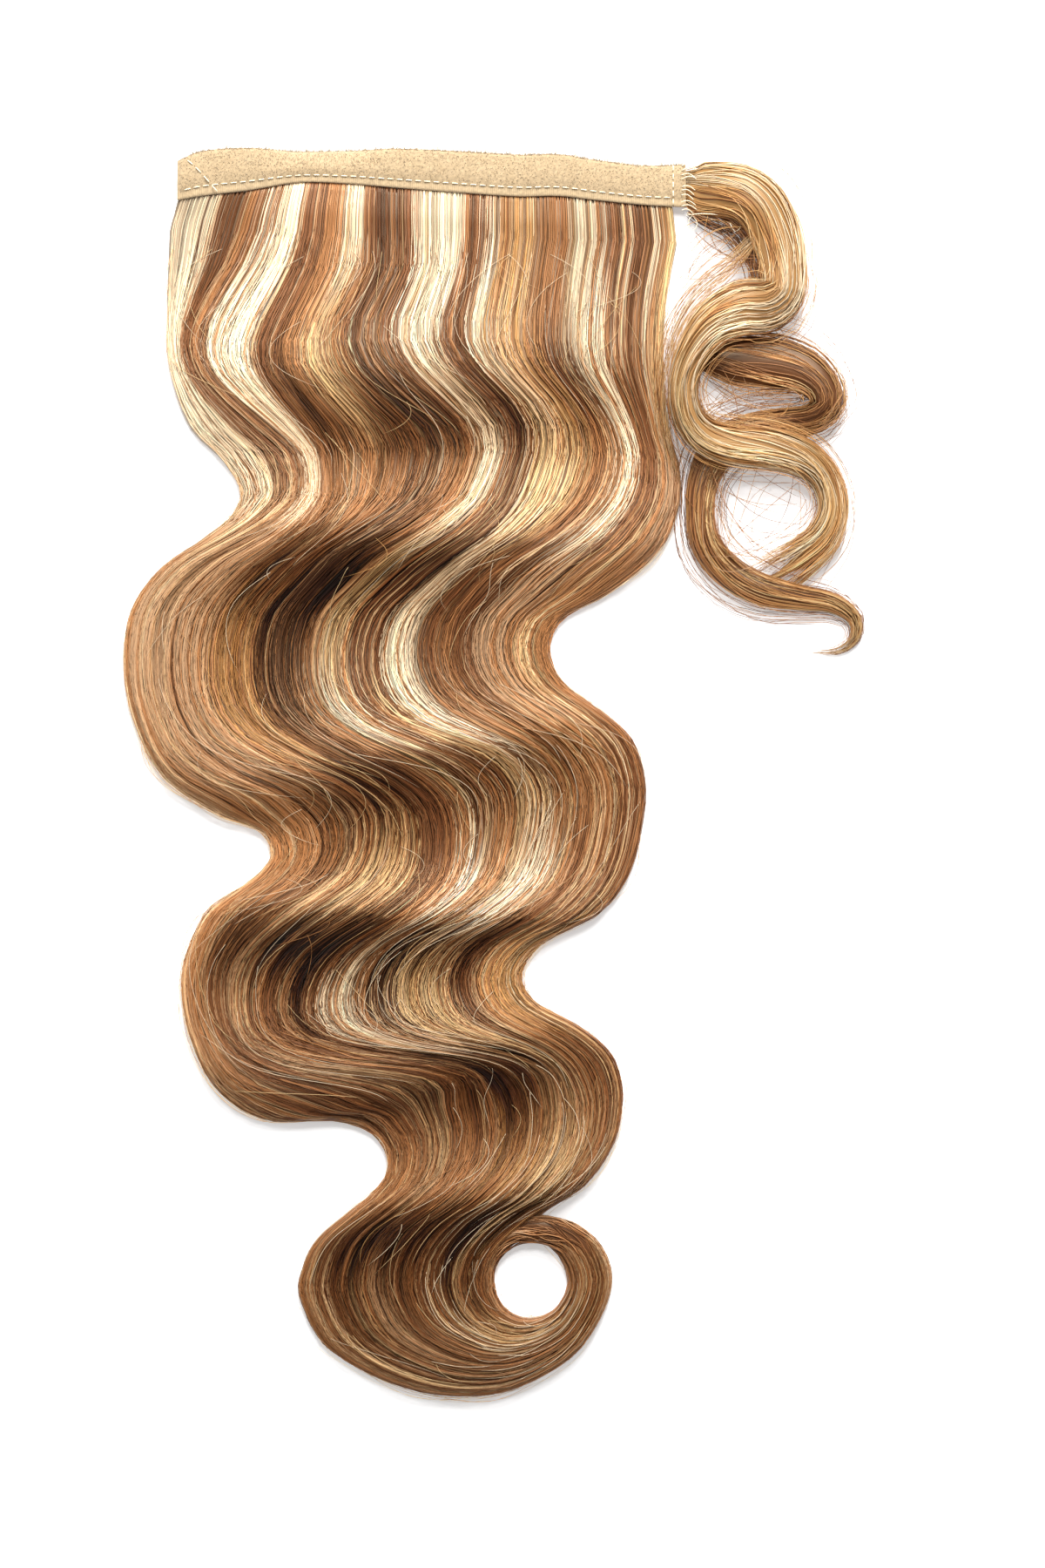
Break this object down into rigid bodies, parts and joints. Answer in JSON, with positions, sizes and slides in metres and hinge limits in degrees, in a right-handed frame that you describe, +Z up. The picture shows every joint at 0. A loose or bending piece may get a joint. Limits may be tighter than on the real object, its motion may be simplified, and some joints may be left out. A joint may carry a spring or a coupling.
{
  "type": "ponytail hairpiece",
  "caption": "Long wavy streaked ponytail hairpiece lying flat: a wide fall of hair sewn under a fuzzy fastening tape, with a curled wrapping tress at the tape's end.",
  "frame": {"origin": "middle of the whole piece's footprint, on the table it lies on", "axes": "+Y from the tips of the hair towards the tape, +X along the tape towards the wrapping tress, +Z up from the table"},
  "size_m": [0.282, 0.4742, 0.0211],
  "materials": {
    "loop_tape": "brushed nylon loop pile on a plain woven ground, beige",
    "hair": "glossy waved hair in platinum, caramel and brown streaks",
    "hook_patch": "moulded nylon hooks, beige"
  },
  "bodies": {
    "root": {"loop_tape": "loop_tape", "hair_fall": "hair", "wrap_tress": "hair", "hook_patch": "hook_patch"}
  },
  "joints": []
}
